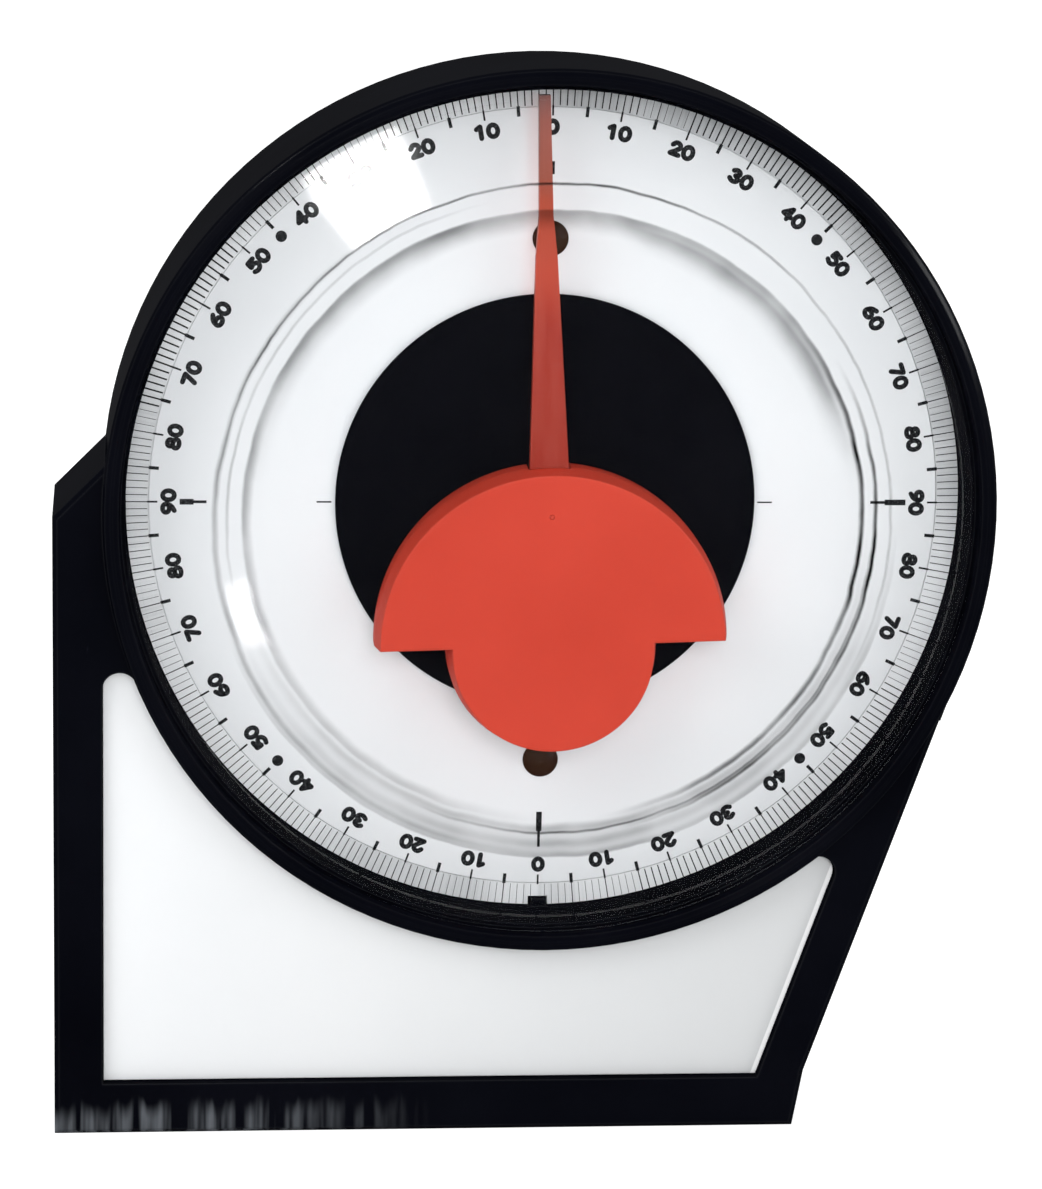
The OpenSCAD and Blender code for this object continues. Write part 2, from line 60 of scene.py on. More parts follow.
def reckon(tree, operation, first, second=0.0):
    return addNode(tree, "ShaderNodeMath", {0: first, 1: second}, operation=operation).outputs[0]


def blankMaterial(name):
    material = bpy.data.materials.new(name)
    material.use_nodes = True
    material.node_tree.nodes.clear()
    return material, material.node_tree


def dialCoordinates(tree, stretch=(1, 1, 1)):
    # object coordinates with their zero on the dial centre: x right, y to the back, z up
    place = addNode(tree, "ShaderNodeTexCoord").outputs["Object"]
    moved = addNode(tree, "ShaderNodeVectorMath", {0: place, 1: -dialCentre}, operation="ADD").outputs[0]
    return addNode(tree, "ShaderNodeVectorMath", {0: moved, 1: stretch}, operation="MULTIPLY").outputs[0]


def mixColours(tree, share, first, second, blend="MIX"):
    mix = addNode(tree, "ShaderNodeMix", data_type="RGBA", blend_type=blend)
    for socket, value in ((mix.inputs[0], share), (mix.inputs[6], first), (mix.inputs[7], second)):
        if isinstance(value, bpy.types.NodeSocket):
            tree.links.new(value, socket)
        else:
            socket.default_value = value if isinstance(value, float) else (*value, 1)
    return mix.outputs[2]


def spread(tree, value, low, high, toLow, toHigh, curve="LINEAR"):
    return addNode(tree, "ShaderNodeMapRange", {"Value": value, "From Min": low, "From Max": high,
                                                "To Min": toLow, "To Max": toHigh},
                   interpolation_type=curve).outputs["Result"]


def noise(tree, place, scale, detail=3.0):
    inputs = {"Vector": place, "Scale": scale, "Detail": detail}
    return addNode(tree, "ShaderNodeTexNoise", inputs).outputs["Fac"]


def noiseRound(tree, turn, scale, detail):
    # noise that changes with the angle alone
    inputs = {"W": turn, "Scale": scale, "Detail": detail}
    return addNode(tree, "ShaderNodeTexNoise", inputs, noise_dimensions="1D").outputs["Fac"]


def along(tree, place, way):
    return addNode(tree, "ShaderNodeVectorMath", {0: place, 1: way}, operation="DOT_PRODUCT").outputs["Value"]


def dialRadius(tree):
    # distance from the dial's axis, in millimetres
    flat = dialCoordinates(tree, (1000, 0, 1000))
    return addNode(tree, "ShaderNodeVectorMath", {0: flat}, operation="LENGTH").outputs["Value"]


def nearRadius(tree, radius, middle, inwards, outwards):
    # 1 on the circle of this radius, falling to 0 at these distances inwards and outwards
    rising = spread(tree, radius, middle - inwards, middle, 0.0, 1.0, "SMOOTHSTEP")
    falling = spread(tree, radius, middle, middle + outwards, 1.0, 0.0, "SMOOTHSTEP")
    return reckon(tree, "MULTIPLY", rising, falling)


def nearAngle(tree, middle, reach):
    # 1 round an angle clockwise from the top, 0 at reach from it, all in degrees
    fullShare = 0.45
    ray = addNode(tree, "ShaderNodeVectorMath", {0: dialCoordinates(tree, (1, 0, 1))}, operation="NORMALIZE")
    turned = math.radians(middle)
    towards = along(tree, ray.outputs[0], (math.sin(turned), 0, math.cos(turned)))
    far, near = (math.cos(math.radians(share * reach)) for share in (1.0, fullShare))
    return spread(tree, towards, far, near, 0.0, 1.0, "SMOOTHSTEP")


def edgeMask(tree, radius):
    # 1 on the edges, 0 on the faces, from the angle between the rounded and the true normal
    faceCosine, edgeCosine = 0.995, 0.8
    rounded = addNode(tree, "ShaderNodeBevel", {"Radius": radius}, samples=6).outputs[0]
    flat = addNode(tree, "ShaderNodeNewGeometry").outputs["Normal"]
    return spread(tree, along(tree, rounded, flat), faceCosine, edgeCosine, 0.0, 1.0), rounded


# what a look has where it doesn't say otherwise; each range is the part of a noise that takes effect
plainLook = {
    "metallic": 0.0, "specular": 0.5, "coat": 0.0, "coatRough": 0.1, "edge": 0.0,
    "cloudDetail": 4.0, "cloudRange": (0.3, 0.7), "roughRange": (0.25, 0.75), "grainDetail": 6.0,
    "streakScale": 2600.0, "streakStretch": 0.08, "streakDetail": 2.0, "streakRange": (0.62, 0.78),
    "scratch": 0.12,
}


def mouldedMaterial(name, look, wash=None):
    # cloudy colour and gloss, fine grain, handling streaks, and edges lightened as rub wear and painted
    # highlight
    # wash adds what one piece has besides: rub marks, or painted shade and highlight
    look = {**plainLook, **look}
    material, tree = blankMaterial(name)
    place = dialCoordinates(tree)
    broad = noise(tree, place, look["cloudScale"], look["cloudDetail"])
    fine = noise(tree, place, look["grainScale"], look["grainDetail"])
    drawn = dialCoordinates(tree, (1, 1, look["streakStretch"]))
    streaks = noise(tree, drawn, look["streakScale"], look["streakDetail"])
    colour = mixColours(tree, spread(tree, broad, *look["cloudRange"], 0.0, 1.0), look["dark"], look["light"])
    if wash:
        colour = wash(tree, colour, look)
    rough = spread(tree, broad, *look["roughRange"], look["roughLow"], look["roughHigh"])
    rough = reckon(tree, "ADD", rough, spread(tree, streaks, *look["streakRange"], 0.0, look["scratch"]))
    bump = addNode(tree, "ShaderNodeBump", {
        "Strength": look["grainStrength"], "Distance": look["grainDepth"], "Height": fine})
    # paler edges: partly rub wear, partly a painted highlight along the edges
    if look["edge"]:
        mask, rounded = edgeMask(tree, look["edge"])
        edgeWearAndHighlight = reckon(tree, "MULTIPLY", mask, look["edgeShare"])
        colour = mixColours(tree, edgeWearAndHighlight, colour, look["edgeColour"])
        tree.links.new(rounded, bump.inputs["Normal"])
    shader = addNode(tree, "ShaderNodeBsdfPrincipled", {
        "Base Color": colour, "Roughness": rough, "Normal": bump.outputs[0],
        "Metallic": look["metallic"], "Specular IOR Level": look["specular"],
        "Coat Weight": look["coat"], "Coat Roughness": look["coatRough"]})
    if look["coat"]:
        tree.links.new(bump.outputs[0], shader.inputs["Coat Normal"])
    addNode(tree, "ShaderNodeOutputMaterial", {"Surface": shader.outputs[0]})
    return material


def dress(node, material):
    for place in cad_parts[node].material_slots:
        place.material = material


def finishMesh(name, bm, material, body, smooth=False):
    mesh = bpy.data.meshes.new(name)
    bm.to_mesh(mesh)
    bm.free()
    mesh.materials.append(material)
    for face in mesh.polygons:
        face.use_smooth = smooth
    piece = bpy.data.objects.new(name, mesh)
    bpy.context.scene.collection.objects.link(piece)
    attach(piece, body)
    return piece


housingLook = {
    "dark": (0.0010, 0.0012, 0.0026), "light": (0.0026, 0.0029, 0.0052),
    "roughLow": 0.3, "roughHigh": 0.45, "cloudScale": 45.0, "scratch": 0.14,
    "grainScale": 900.0, "grainStrength": 0.06, "grainDepth": 0.00004,
    "specular": 0.0, "coat": 0.016, "coatRough": 0.1,
    # the paler edges here are a painted highlight along the ring crest as well as rub wear
    "edge": 0.00035, "edgeShare": 0.45, "edgeColour": (0.03, 0.031, 0.035),
    # upright rub marks low on the base, where it snaps on to steel; places in metres from the dial centre
    "rubColour": (0.13, 0.14, 0.155), "rubStretch": 0.04, "rubScale": 900.0,
    "rubRange": (0.43, 0.68), "rubShare": 0.8,
    "raggedScale": 500.0, "raggedRange": (0.3, 0.7), "raggedReach": 0.0012,
    "rubTop": -0.0648, "rubBottom": -0.0672, "rubRight": -0.012, "rubFade": 0.025,
}
coverLook = {
    "dark": (0.006, 0.006, 0.007), "light": (0.011, 0.011, 0.012),
    "roughLow": 0.45, "roughHigh": 0.62, "cloudScale": 60.0,
    "grainScale": 2400.0, "grainStrength": 0.6, "grainDepth": 0.0001, "specular": 0.05,
    "edge": 0.0003, "edgeShare": 0.4, "edgeColour": (0.03, 0.03, 0.032),
}
screwLook = {
    "dark": (0.32, 0.33, 0.34), "light": (0.5, 0.5, 0.51), "metallic": 1.0,
    "roughLow": 0.28, "roughHigh": 0.42, "cloudScale": 400.0,
    "grainScale": 4000.0, "grainStrength": 0.3, "grainDepth": 0.00004,
    "edge": 0.00015, "edgeShare": 0.5, "edgeColour": (0.7, 0.7, 0.7),
}


def rubMarks(tree, colour, look):
    place = addNode(tree, "ShaderNodeSeparateXYZ", {0: dialCoordinates(tree)})
    drawn = dialCoordinates(tree, (1, 1, look["rubStretch"]))
    bars = noise(tree, drawn, look["rubScale"], look["streakDetail"])
    share = spread(tree, bars, *look["rubRange"], 0.0, look["rubShare"])
    ragged = spread(tree, noise(tree, drawn, look["raggedScale"], look["streakDetail"]), *look["raggedRange"],
                    -look["raggedReach"], look["raggedReach"])
    height = reckon(tree, "ADD", place.outputs["Z"], ragged)
    low = spread(tree, height, look["rubTop"], look["rubBottom"], 0.0, 1.0, "SMOOTHSTEP")
    left = spread(tree, place.outputs["X"], look["rubRight"], look["rubRight"] - look["rubFade"], 0.0, 1.0)
    share = reckon(tree, "MULTIPLY", share, reckon(tree, "MULTIPLY", low, left))
    return mixColours(tree, share, colour, look["rubColour"])


dress("front_housing", mouldedMaterial("glossBlackHousing", housingLook, rubMarks))
coverMaterial = mouldedMaterial("mattBlackCover", coverLook)
dress("rear_cover", coverMaterial)
dress("magnet_retainer", coverMaterial)
dress("cover_screws", mouldedMaterial("platedScrew", screwLook))
print("housing dressed")

panelLook = {
    "dark": (0.86, 0.875, 0.89), "light": (0.93, 0.94, 0.95), "paintedShadeColour": (0.585, 0.595, 0.6),
    # painted shade: the satin sheet is painted palest at its upper left and greyest at its lower right, as
    # light from the left falls off across it
    "paintedShadeWay": (9.0, 0.0, -3.0), "paintedShadeStart": 0.58,
    # a painted highlight strip along the slanted edge: the way towards that edge, and where it begins in
    # millimetres
    "highlightStripWay": (945.5, 0.0, -325.8), "highlightStripStart": (42.62, 42.74), "highlightStripColour": (0.93, 0.935, 0.94),
    "roughLow": 0.3, "roughHigh": 0.42, "cloudScale": 30.0,
    "grainScale": 1400.0, "grainStrength": 0.15, "grainDepth": 0.00005, "specular": 0.1,
    "edge": 0.0002, "edgeShare": 0.3, "edgeColour": (0.95, 0.95, 0.955),
}


def panelFade(tree, colour, look):
    # painted shade across the sheet, then a painted highlight along its slanted edge
    place = dialCoordinates(tree)
    share = reckon(tree, "ADD", along(tree, place, look["paintedShadeWay"]), look["paintedShadeStart"])
    colour = mixColours(tree, spread(tree, share, 0.0, 1.0, 0.0, 1.0), colour, look["paintedShadeColour"])
    highlightStrip = spread(tree, along(tree, place, look["highlightStripWay"]), *look["highlightStripStart"], 0.0, 1.0)
    return mixColours(tree, highlightStrip, colour, look["highlightStripColour"])


dress("window_panel", mouldedMaterial("paleWindowPanel", panelLook, panelFade))

dialLook = {
    "dark": (0.925, 0.935, 0.945), "light": (0.96, 0.967, 0.973),
    "roughLow": 0.4, "roughHigh": 0.55, "cloudScale": 40.0,
    "grainScale": 2200.0, "grainStrength": 0.1, "grainDepth": 0.00003, "specular": 0.05,
}
discLook = {
    "dark": (0.0009, 0.0010, 0.0022), "light": (0.0022, 0.0023, 0.0040),
    "roughLow": 0.5, "roughHigh": 0.65, "cloudScale": 90.0,
    "grainScale": 2600.0, "grainStrength": 0.2, "grainDepth": 0.00003, "specular": 0.0,
}
rivetLook = {
    "dark": (0.026, 0.004, 0.0015), "light": (0.038, 0.016, 0.007),
    "roughLow": 0.3, "roughHigh": 0.5, "cloudScale": 300.0,
    "grainScale": 3000.0, "grainStrength": 0.3, "grainDepth": 0.00004, "specular": 0.03,
}
ringLook = {
    "pale": (0.97, 0.975, 0.98), "deep": (0.42, 0.43, 0.435), "specular": 0.1, "roughness": (0.32, 0.5),
    # shares of the deep colour: its range over the clouds, and what the fine radial brushing adds
    "clouds": (-0.04, 0.16), "cloudScale": 5.0, "cloudRange": (0.35, 0.65),
    "brushed": 0.12, "brushedScale": 130.0, "brushedRange": (0.4, 0.7), "roughRange": (0.3, 0.7),
    # stretches that are deeper or paler: middle and reach in degrees clockwise from the top, and how much
    "stretches": ((-160, 16, 0.25), (-130, 26, -0.15), (-82, 18, 0.25), (-60, 16, -0.25),
                  (0, 12, 0.25), (48, 60, 0.4), (112, 20, -0.2), (160, 18, -0.2)),
}


def degreeRingMaterial(name, look):
    material, tree = blankMaterial(name)
    place = addNode(tree, "ShaderNodeSeparateXYZ", {0: dialCoordinates(tree)})
    turn = reckon(tree, "ARCTAN2", place.outputs["X"], place.outputs["Z"])
    patches = noiseRound(tree, turn, look["cloudScale"], 2.0)
    lines = noiseRound(tree, turn, look["brushedScale"], 1.0)
    share = spread(tree, patches, *look["cloudRange"], *look["clouds"])
    share = reckon(tree, "ADD", share, spread(tree, lines, *look["brushedRange"], 0.0, look["brushed"]))
    for middle, reach, amount in look["stretches"]:
        share = reckon(tree, "ADD", share, reckon(tree, "MULTIPLY", nearAngle(tree, middle, reach), amount))
    shader = addNode(tree, "ShaderNodeBsdfPrincipled", {
        "Base Color": mixColours(tree, share, look["pale"], look["deep"]),
        "Specular IOR Level": look["specular"],
        "Roughness": spread(tree, patches, *look["roughRange"], *look["roughness"])})
    addNode(tree, "ShaderNodeOutputMaterial", {"Surface": shader.outputs[0]})
    return material


dress("dial_plate", mouldedMaterial("whiteDial", dialLook))
dress("degree_ring", degreeRingMaterial("silverDegreeRing", ringLook))
dress("hub_disc", mouldedMaterial("blackCentreDisc", discLook))
dress("dial_rivets", mouldedMaterial("blackRivet", rivetLook))

# the printed scale, in millimetres and in degrees clockwise from the top
scalePrint = {
    "ringInner": 43.1, "ringOuter": 45.5, "thickness": 0.03,
    "markLength": 1.0, "fiveMark": 0.36, "tenMark": 0.2,
    "fineLine": 0.05, "fiveLine": 0.1,
    # where the one-degree lines are printed heavier: from, to and width
    "heavyStretches": ((-76, -50, 0.17), (-50, -36, 0.1), (-24, 12, 0.13), (20, 46, 0.16), (46, 62, 0.07),
                       (78, 101, 0.09), (118, 165, 0.12), (-165, -118, 0.09), (-101, -80, 0.08)),
    "numeralRadius": 40.9, "numeralHeight": 1.95, "numeralBreadth": 0.86, "numeralSpace": 1.42, "pen": 0.27,
    # how far the marks and the one-degree lines run into each other
    "overlap": 0.1,
    "dotRadius": 0.62, "thickQuarter": 0.62, "thinQuarter": 0.3, "sideWidth": 0.16,
    "quarterThick": {0: (35.8, 37.2), 90: (37.4, 39.7), 180: (34.9, 37.1), 270: (38.2, 39.7)},
    "quarterThin": {90: (35.8, 37.4), 180: (37.1, 38.9), 270: (36.8, 38.2)},
    "sideLines": (23.3, 24.9),
}
# strokes of each digit in a box one unit high: points, then whether the stroke is a closed loop
digitStrokes = {
    "0": [([(0, 0.95), (-0.3, 0.5), (0, 0.05), (0.3, 0.5)], True)],
    "1": [([(-0.2, 0.78), (0.06, 0.95)], False), ([(0.06, 0.95), (0.06, 0.05)], False)],
    "2": [([(-0.27, 0.72), (-0.02, 0.95), (0.26, 0.7), (0.1, 0.42), (-0.28, 0.05)], False),
          ([(-0.28, 0.05), (0.3, 0.05)], False)],
    "3": [([(-0.25, 0.82), (0.02, 0.95), (0.24, 0.74), (0, 0.52)], False),
          ([(0, 0.52), (0.28, 0.28), (0.0, 0.05), (-0.28, 0.18)], False)],
    "4": [([(0.12, 0.05), (0.12, 0.95)], False), ([(0.12, 0.95), (-0.3, 0.32)], False),
          ([(-0.3, 0.32), (0.32, 0.32)], False)],
    "5": [([(0.26, 0.95), (-0.2, 0.95)], False), ([(-0.2, 0.95), (-0.22, 0.56)], False),
          ([(-0.22, 0.56), (0.06, 0.62), (0.28, 0.34), (0.02, 0.05), (-0.28, 0.15)], False)],
    "6": [([(0.16, 0.95), (-0.16, 0.68), (-0.28, 0.32)], False),
          ([(0, 0.56), (-0.28, 0.3), (0, 0.05), (0.28, 0.3)], True)],
    "7": [([(-0.28, 0.95), (0.28, 0.95)], False), ([(0.28, 0.95), (-0.06, 0.05)], False)],
    "8": [([(0, 0.95), (-0.22, 0.74), (0, 0.53), (0.22, 0.74)], True),
          ([(0, 0.53), (-0.29, 0.29), (0, 0.05), (0.29, 0.29)], True)],
    "9": [([(-0.16, 0.05), (0.16, 0.32), (0.28, 0.68)], False),
          ([(0, 0.44), (-0.28, 0.7), (0, 0.95), (0.28, 0.7)], True)],
}
inkLook = {
    "full": (0.004, 0.0045, 0.006), "worn": (0.07, 0.072, 0.075), "specular": 0.05, "roughness": (0.4, 0.6),
    "speckleScale": 3500.0, "wornRange": (0.48, 0.78), "roughRange": (0.3, 0.7),
}


def inkMaterial(name, look):
    material, tree = blankMaterial(name)
    speckle = noise(tree, dialCoordinates(tree), look["speckleScale"], 3.0)
    colour = mixColours(tree, spread(tree, speckle, *look["wornRange"], 0.0, 1.0), look["full"], look["worn"])
    shader = addNode(tree, "ShaderNodeBsdfPrincipled", {
        "Base Color": colour, "Specular IOR Level": look["specular"],
        "Roughness": spread(tree, speckle, *look["roughRange"], *look["roughness"])})
    addNode(tree, "ShaderNodeOutputMaterial", {"Surface": shader.outputs[0]})
    return material


def dialPlace(angle, radius, height=0.0):
    # a place on the dial with its own up direction pointing outwards, angle clockwise from the top
    return (dialFrame @ Matrix.Rotation(-math.radians(angle), 4, "Z")
            @ Matrix.Translation((0, radius * mm, height * mm)))


def addBar(bm, angle, inner, outer, width, look):
    size = Matrix.Diagonal((width * mm, (outer - inner) * mm, look["thickness"] * mm, 1))
    place = dialPlace(angle, (inner + outer) / 2, look["thickness"] / 2)
    bmesh.ops.create_cube(bm, size=1, matrix=place @ size)


def addDot(bm, angle, look):
    radius = look["dotRadius"] * mm
    place = dialPlace(angle, look["numeralRadius"], look["thickness"] / 2)
    bmesh.ops.create_cone(bm, cap_ends=True, segments=20, radius1=radius, radius2=radius,
                          depth=look["thickness"] * mm, matrix=place)


def lineWidth(degree, look):
    around = (degree + 180) % 360 - 180
    width = look["fineLine"]
    for start, stop, heavy in look["heavyStretches"]:
        if start <= around <= stop:
            width = heavy
    return max(width, look["fiveLine"]) if degree % 5 == 0 else width


def digitMesh(digit, look):
    # pen strokes as round-ended tubes, later flattened to the thickness of ink
    curve = bpy.data.curves.new("digit" + digit, "CURVE")
    curve.dimensions = "3D"
    curve.bevel_depth, curve.bevel_resolution = look["pen"], 1
    curve.resolution_u, curve.use_fill_caps = 4, True
    breadth, height = look["numeralHeight"] * look["numeralBreadth"], look["numeralHeight"] - 2 * look["pen"]
    ends = []
    for points, closed in digitStrokes[digit]:
        spline = curve.splines.new("BEZIER")
        spline.bezier_points.add(len(points) - 1)
        spline.use_cyclic_u = closed
        for knot, (x, y) in zip(spline.bezier_points, points):
            knot.co = (x * breadth, (y - 0.5) * height, 0)
            knot.handle_left_type = knot.handle_right_type = "AUTO"
        if not closed:
            ends += [spline.bezier_points[0].co.copy(), spline.bezier_points[-1].co.copy()]
    piece = bpy.data.objects.new(curve.name, curve)
    bpy.context.scene.collection.objects.link(piece)
    mesh = bpy.data.meshes.new_from_object(piece.evaluated_get(bpy.context.evaluated_depsgraph_get()))
    bm = bmesh.new()
    bm.from_mesh(mesh)
    for end in ends:
        place = Matrix.Translation(end)
        bmesh.ops.create_uvsphere(bm, u_segments=8, v_segments=4, radius=look["pen"], matrix=place)
    flat = look["thickness"] / (2 * look["pen"])
    bmesh.ops.transform(bm, matrix=Matrix.Diagonal((mm, mm, mm * flat, 1)), verts=bm.verts)
    bm.to_mesh(mesh)
    bm.free()
    bpy.data.objects.remove(piece)
    bpy.data.curves.remove(curve)
    return mesh


def addNumeral(bm, angle, digits, look):
    value = str(min(angle % 180, 180 - angle % 180))
    middle = dialPlace(angle, look["numeralRadius"], look["thickness"] / 2)
    for k, digit in enumerate(value):
        aside = (k - (len(value) - 1) / 2) * look["numeralSpace"] * mm
        before = set(bm.verts)
        bm.from_mesh(digits[digit])
        place = middle @ Matrix.Translation((aside, 0, 0))
        bmesh.ops.transform(bm, matrix=place, verts=[v for v in bm.verts if v not in before])


def makeScalePrint(look, material):
    bm = bmesh.new()
    inner = look["ringInner"] + look["overlap"]
    for degree in range(360):
        if degree != 180:  # the locating key stands here
            addBar(bm, degree, inner, look["ringOuter"], lineWidth(degree, look), look)
        if degree % 5 == 0:
            width = look["tenMark"] if degree % 10 == 0 else look["fiveMark"]
            addBar(bm, degree, look["ringInner"] - look["markLength"], inner, width, look)
    for angle, reach in look["quarterThick"].items():
        addBar(bm, angle, *reach, look["thickQuarter"], look)
    for angle, reach in look["quarterThin"].items():
        addBar(bm, angle, *reach, look["thinQuarter"], look)
    for angle in (90, 270):
        addBar(bm, angle, *look["sideLines"], look["sideWidth"], look)
    for angle in (45, 135, 225, 315):
        addDot(bm, angle, look)
    digits = {digit: digitMesh(digit, look) for digit in digitStrokes}
    for angle in range(0, 360, 10):
        addNumeral(bm, angle, digits, look)
    bmesh.ops.recalc_face_normals(bm, faces=bm.faces)
    finishMesh("scale_print", bm, material, "housing")
    for mesh in digits.values():
        bpy.data.meshes.remove(mesh)


makeScalePrint(scalePrint, inkMaterial("scaleInk", inkLook))
print("scale printed")

lensLook = {
    # each face takes a little light, as clear plastic does, and mirrors weakly
    "tint": (0.955, 0.96, 0.964), "shadowTint": (0.958, 0.962, 0.966),
    "mirror": 0.0015, "grazing": 0.15, "grazingPower": 5.0, "rippleScale": 70.0, "rippleStrength": 0.08,
    "rippleDepth": 0.0002, "scuffScale": 1500.0, "scuffStretch": 0.1, "scuffRange": (0.55, 0.85),
    "scuffed": (0.05, 0.12),
    # the outer face alone takes the painted shade bands: its flat centre and its step up to the crest, in
    # millimetres
    "stepInner": 33.0, "stepOuter": 35.8, "stepRise": 1.4, "faceLevel": 9.3,
    "waverScale": 220.0, "waverRange": (0.3, 0.7), "waver": 0.1,
    "streakScale": 120.0, "streakRange": (0.35, 0.65), "streaks": (0.65, 1.1),
    # painted shade along the step, dark lines and soft shading that stand in for refraction and shadow at the
    # clear step:
    # radius, reach inwards and outwards, depth, then middle and reach in degrees
    "paintedShadeBands": (
        (36.15, 0.2, 0.24, 0.85, -22, 72), (36.25, 0.6, 0.45, 0.42, -105, 85),
        (36.1, 0.25, 0.3, 0.35, 50, 75), (33.1, 2.5, 0.35, 0.56, 0, 90),
        (33.1, 1.1, 0.4, 0.45, -90, 95), (33.2, 0.55, 0.35, 0.95, 108, 64),
        (34.6, 0.4, 0.3, 0.97, 114, 56), (34.9, 0.3, 0.3, 0.3, -60, 50),
        (33.9, 0.7, 1.0, 0.4, 175, 85), (35.4, 1.2, 1.0, 0.4, 175, 80),
        (36.8, 1.2, 0.3, 0.45, 172, 84), (34.3, 0.22, 0.22, 0.7, 150, 60), (32.2, 2.6, 0.5, 0.35, 44, 34),
    ),
}


def lensBands(tree, look):
    # how much light the outer face lets through, from 0 to 1: the painted shade of the step
    place = dialCoordinates(tree)
    depth = along(tree, place, (0.0, -1000.0, 0.0))
    radius = dialRadius(tree)
    risen = spread(tree, radius, look["stepInner"], look["stepOuter"], 0.0, look["stepRise"])
    outer = reckon(tree, "GREATER_THAN", reckon(tree, "SUBTRACT", depth, risen), look["faceLevel"])
    waver = spread(tree, noise(tree, place, look["waverScale"], 2.0), *look["waverRange"],
                   -look["waver"], look["waver"])
    radius = reckon(tree, "ADD", radius, waver)
    streaky = noise(tree, place, look["streakScale"], 2.0)
    streaky = spread(tree, streaky, *look["streakRange"], *look["streaks"])
    share = 1.0
    # each band paints a line or soft shade into what the lens lets through
    for middle, inwards, outwards, dark, angle, reach in look["paintedShadeBands"]:
        paintedBand = nearRadius(tree, radius, middle, inwards, outwards)
        paintedBand = reckon(tree, "MULTIPLY", paintedBand, nearAngle(tree, angle, reach))
        paintedBand = reckon(tree, "MULTIPLY", paintedBand, reckon(tree, "MULTIPLY", streaky, dark))
        share = reckon(tree, "MULTIPLY", share, reckon(tree, "SUBTRACT", 1.0, paintedBand))
    inner = reckon(tree, "SUBTRACT", 1.0, outer)
    return reckon(tree, "ADD", reckon(tree, "MULTIPLY", share, outer), inner)


def lensMaterial(name, look):
    # a thin pane that lets light straight through and mirrors weakly, more so at a grazing angle
    material, tree = blankMaterial(name)
    # the see-through colour carries the painted shade bands
    shade = mixColours(tree, lensBands(tree, look), (0.0, 0.0, 0.0), look["tint"])
    ripple = noise(tree, dialCoordinates(tree), look["rippleScale"], 2.0)
    scuff = noise(tree, dialCoordinates(tree, (1, 1, look["scuffStretch"])), look["scuffScale"], 3.0)
    bump = addNode(tree, "ShaderNodeBump", {
        "Strength": look["rippleStrength"], "Distance": look["rippleDepth"], "Height": ripple})
    mirror = addNode(tree, "ShaderNodeBsdfAnisotropic", {
        "Color": (1, 1, 1, 1), "Normal": bump.outputs[0],
        "Roughness": spread(tree, scuff, *look["scuffRange"], *look["scuffed"])})
    through = addNode(tree, "ShaderNodeBsdfTransparent", {"Color": shade})
    facing = addNode(tree, "ShaderNodeLayerWeight", {"Blend": 0.5}).outputs["Facing"]
    grazing = reckon(tree, "MULTIPLY", reckon(tree, "POWER", facing, look["grazingPower"]), look["grazing"])
    pane = addNode(tree, "ShaderNodeMixShader", {
        0: reckon(tree, "ADD", grazing, look["mirror"]), 1: through.outputs[0], 2: mirror.outputs[0]})
    toLamps = addNode(tree, "ShaderNodeBsdfTransparent", {"Color": (*look["shadowTint"], 1)})
    path = addNode(tree, "ShaderNodeLightPath").outputs["Is Shadow Ray"]
    mix = addNode(tree, "ShaderNodeMixShader", {0: path, 1: pane.outputs[0], 2: toLamps.outputs[0]})
    addNode(tree, "ShaderNodeOutputMaterial", {"Surface": mix.outputs[0]})
    return material


dress("lens", lensMaterial("clearLens", lensLook))

weightLook = {
    "dark": (0.6, 0.05, 0.026), "light": (0.67, 0.06, 0.033),
    "roughLow": 0.45, "roughHigh": 0.55, "cloudScale": 70.0,
    "grainScale": 1800.0, "grainStrength": 0.15, "grainDepth": 0.00005, "specular": 0.05,
    "edge": 0.0004, "edgeShare": 0.2, "edgeColour": (0.9, 0.16, 0.1),
}
pointerLook = {
    # the pointer's red by distance from the pivot in millimetres, with painted shade: darker over the black
    # disc, clear red beyond it, then duller and paler past the lens step towards the tip
    "tonesWithPaintedShade": ((4.0, (0.34, 0.036, 0.022)), (20.0, (0.37, 0.042, 0.028)), (26.0, (0.52, 0.068, 0.038)),
              (33.5, (0.46, 0.078, 0.042)), (36.0, (0.33, 0.09, 0.06)), (42.0, (0.33, 0.11, 0.085)),
              (45.0, (0.24, 0.12, 0.11))),
    "flowColour": (0.6, 0.14, 0.1), "flowScale": 900.0, "flowStretch": 0.15,
    "flowRange": (0.35, 0.65), "flowShare": 0.16, "flowStrength": 0.15, "flowDepth": 0.00004,
    "roughRange": (0.3, 0.7), "rough": (0.3, 0.45), "specular": 0.03,
    # its shadow is tinted, because the plastic lets some light through
    "shadowTint": (1.0, 0.55, 0.5),
}
nibLook = {"radius": 0.3, "taper": 0.7, "height": 0.12, "drop": -0.1}


